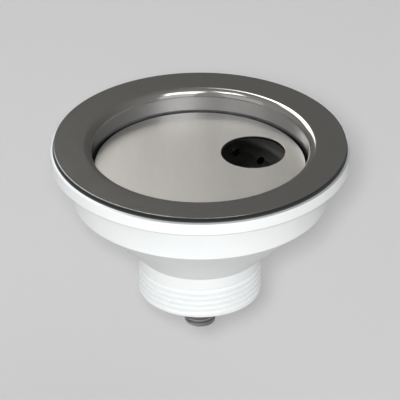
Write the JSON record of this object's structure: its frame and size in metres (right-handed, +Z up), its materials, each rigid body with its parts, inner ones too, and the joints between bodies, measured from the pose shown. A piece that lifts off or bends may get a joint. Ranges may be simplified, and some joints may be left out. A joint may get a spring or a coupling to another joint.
{
  "type": "sink drain",
  "caption": "Kitchen sink basket strainer waste: steel flange cup, lift-out strainer under a loose cover plate with a finger hole, white plastic body with a threaded outlet.",
  "frame": {"origin": "on the drain's axis, in the plane where the flange's gasket beds on the sink's upper face", "axes": "+Z up along the drain's axis, out of the sink; +X to the right and +Y away in the picture's view"},
  "size_m": [0.1164, 0.1164, 0.0787],
  "materials": {
    "polished_steel": "polished stainless steel",
    "brushed_steel": "finely brushed stainless steel",
    "basket_steel": "satin stainless steel",
    "screw_steel": "plain machined steel",
    "white_plastic": "smooth moulded polypropylene",
    "grey_plastic": "moulded acetal",
    "black_rubber": "moulded rubber",
    "grey_rubber": "moulded rubber",
    "brass": "turned brass"
  },
  "bodies": {
    "drain": {"flange_cup": "polished_steel", "flange_gasket": "black_rubber", "rim_gasket": "grey_rubber", "waste_body": "white_plastic", "screw_nut": "brass", "clamp_screw": "screw_steel", "screw_washer": "screw_steel"},
    "stem": {"spring_sleeve": "grey_plastic"},
    "strainer": {"basket": "basket_steel", "basket_seal": "black_rubber", "seal_washer": "screw_steel", "stem_nut": "screw_steel", "stem_pin": "screw_steel", "pin_clip": "screw_steel", "knob_washer": "basket_steel", "lift_knob": "basket_steel"},
    "cover": {"cover_plate": "brushed_steel"}
  },
  "joints": [
    {"name": "strainer_lift", "type": "slide", "parent": "drain", "child": "stem", "axis": [0, 0, 1], "range_m": [0, 0.06]},
    {"name": "strainer_turn", "type": "hinge", "parent": "stem", "child": "strainer", "pos_m": [0, 0, 0], "axis": [0, 0, 1], "continuous": true},
    {"name": "cover_lift", "type": "slide", "parent": "stem", "child": "cover", "axis": [0, 0, 1], "range_m": [0, 0.03]}
  ]
}
